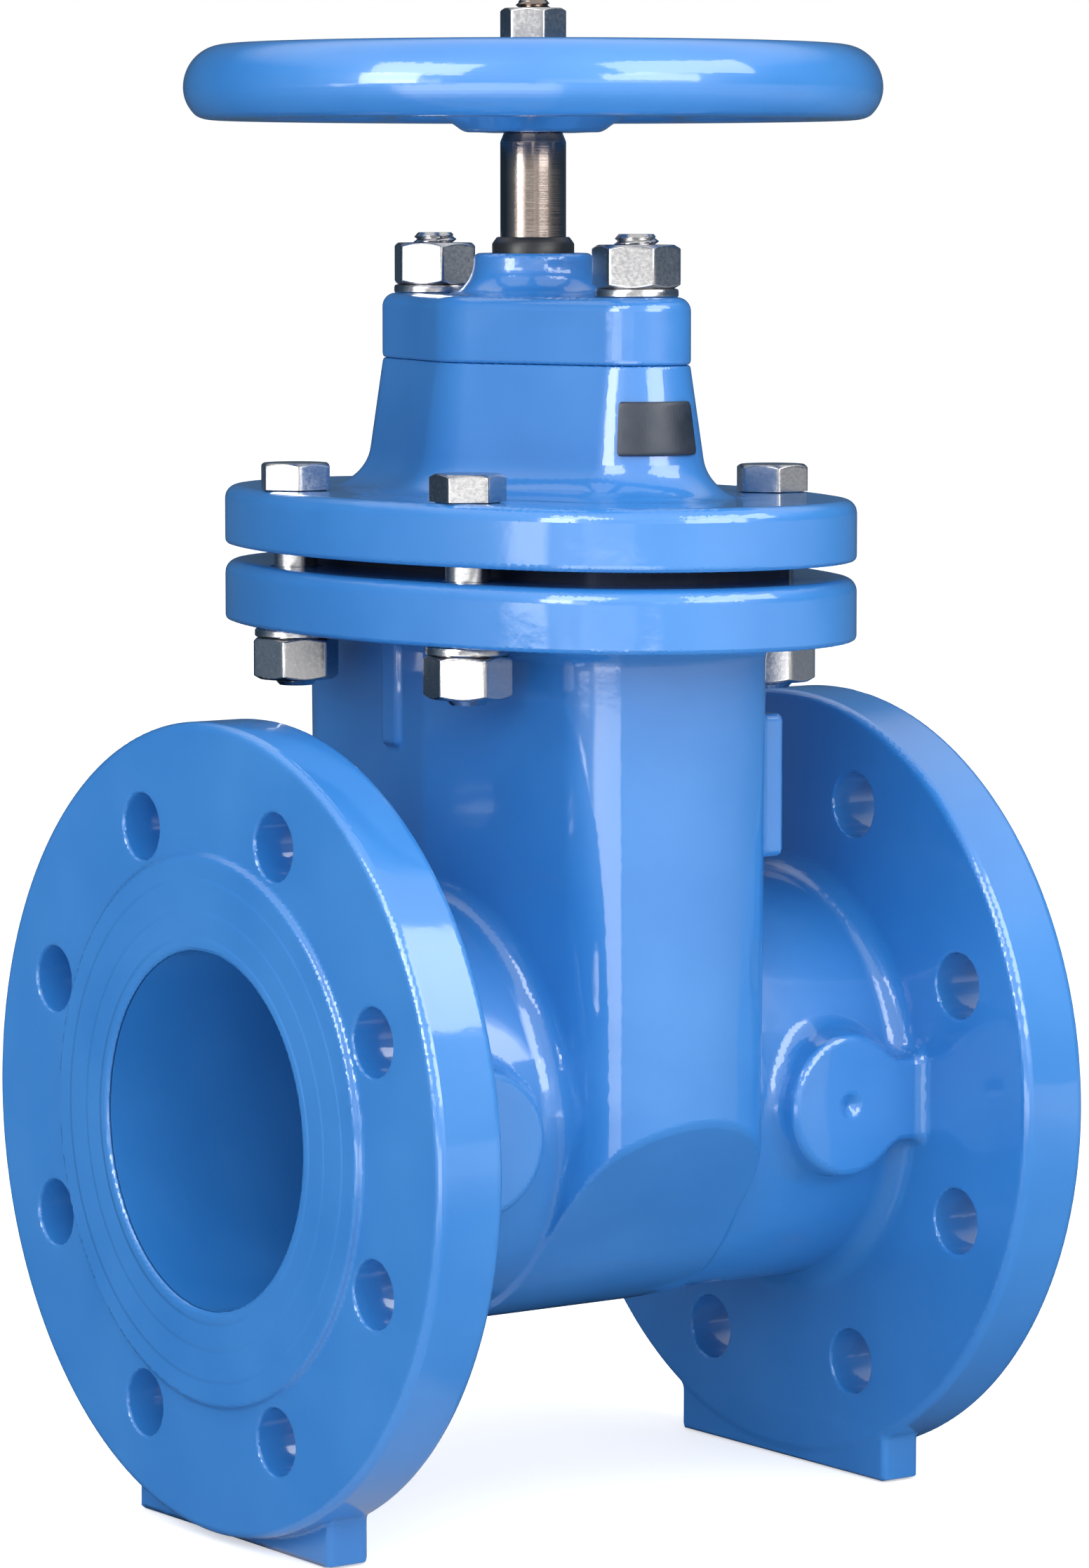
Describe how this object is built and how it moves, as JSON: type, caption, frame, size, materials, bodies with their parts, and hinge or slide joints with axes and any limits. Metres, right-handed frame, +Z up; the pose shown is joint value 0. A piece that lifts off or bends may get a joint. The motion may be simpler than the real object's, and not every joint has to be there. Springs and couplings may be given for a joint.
{
  "type": "non-rising stem gate valve",
  "caption": "Flanged resilient-wedge gate valve with a non-rising stem, oval bolted bonnet, gland plate and a round handwheel, in blue epoxy.",
  "frame": {"origin": "centre of the bounding box's underside, between the two feet, on the floor", "axes": "+X along the pipe, from the inlet to the outlet; +Z up the stem; +Y across the pipe, away from the tag plate"},
  "size_m": [0.229, 0.23, 0.4333],
  "materials": {
    "epoxy": "glossy fusion-bonded blue epoxy on ductile iron",
    "gasket": "matt black rubber",
    "rubber": "smooth black rubber",
    "cladding": "ductile iron clad in smooth black rubber",
    "tag": "dark brushed plate",
    "brass": "machined brass",
    "stem": "ground stainless steel",
    "zinc": "zinc-plated steel"
  },
  "bodies": {
    "valve_body": {"body": "epoxy", "bonnet": "epoxy", "bonnet_gasket": "gasket", "gland_plate": "epoxy", "tag_plate": "tag", "stem_wiper": "rubber", "lower_thrust_washer": "brass", "upper_thrust_washer": "brass", "bonnet_bolt_1": "zinc", "bonnet_bolt_2": "zinc", "bonnet_bolt_3": "zinc", "bonnet_bolt_4": "zinc", "bonnet_washer_1": "zinc", "bonnet_washer_2": "zinc", "bonnet_washer_3": "zinc", "bonnet_washer_4": "zinc", "bonnet_nut_1": "zinc", "bonnet_nut_2": "zinc", "bonnet_nut_3": "zinc", "bonnet_nut_4": "zinc", "gland_stud_1": "zinc", "gland_stud_2": "zinc", "gland_washer_1": "zinc", "gland_washer_2": "zinc", "gland_nut_1": "zinc", "gland_nut_2": "zinc"},
    "spindle": {"stem": "stem", "handwheel": "epoxy", "handwheel_washer": "zinc", "handwheel_nut": "zinc"},
    "gate": {"wedge": "cladding", "stem_nut": "brass"}
  },
  "joints": [
    {"name": "handwheel_turn", "type": "hinge", "parent": "valve_body", "child": "spindle", "pos_m": [0, 0, 0.4], "axis": [0, 0, 1], "range_deg": [-7775, 0]},
    {"name": "gate_slide", "type": "slide", "parent": "valve_body", "child": "gate", "axis": [0, 0, 1], "range_m": [-0.108, 0]}
  ],
  "couplings": [
    {"joint": "gate_slide", "follows": "handwheel_turn", "m_per_rad": 0.00079577}
  ]
}
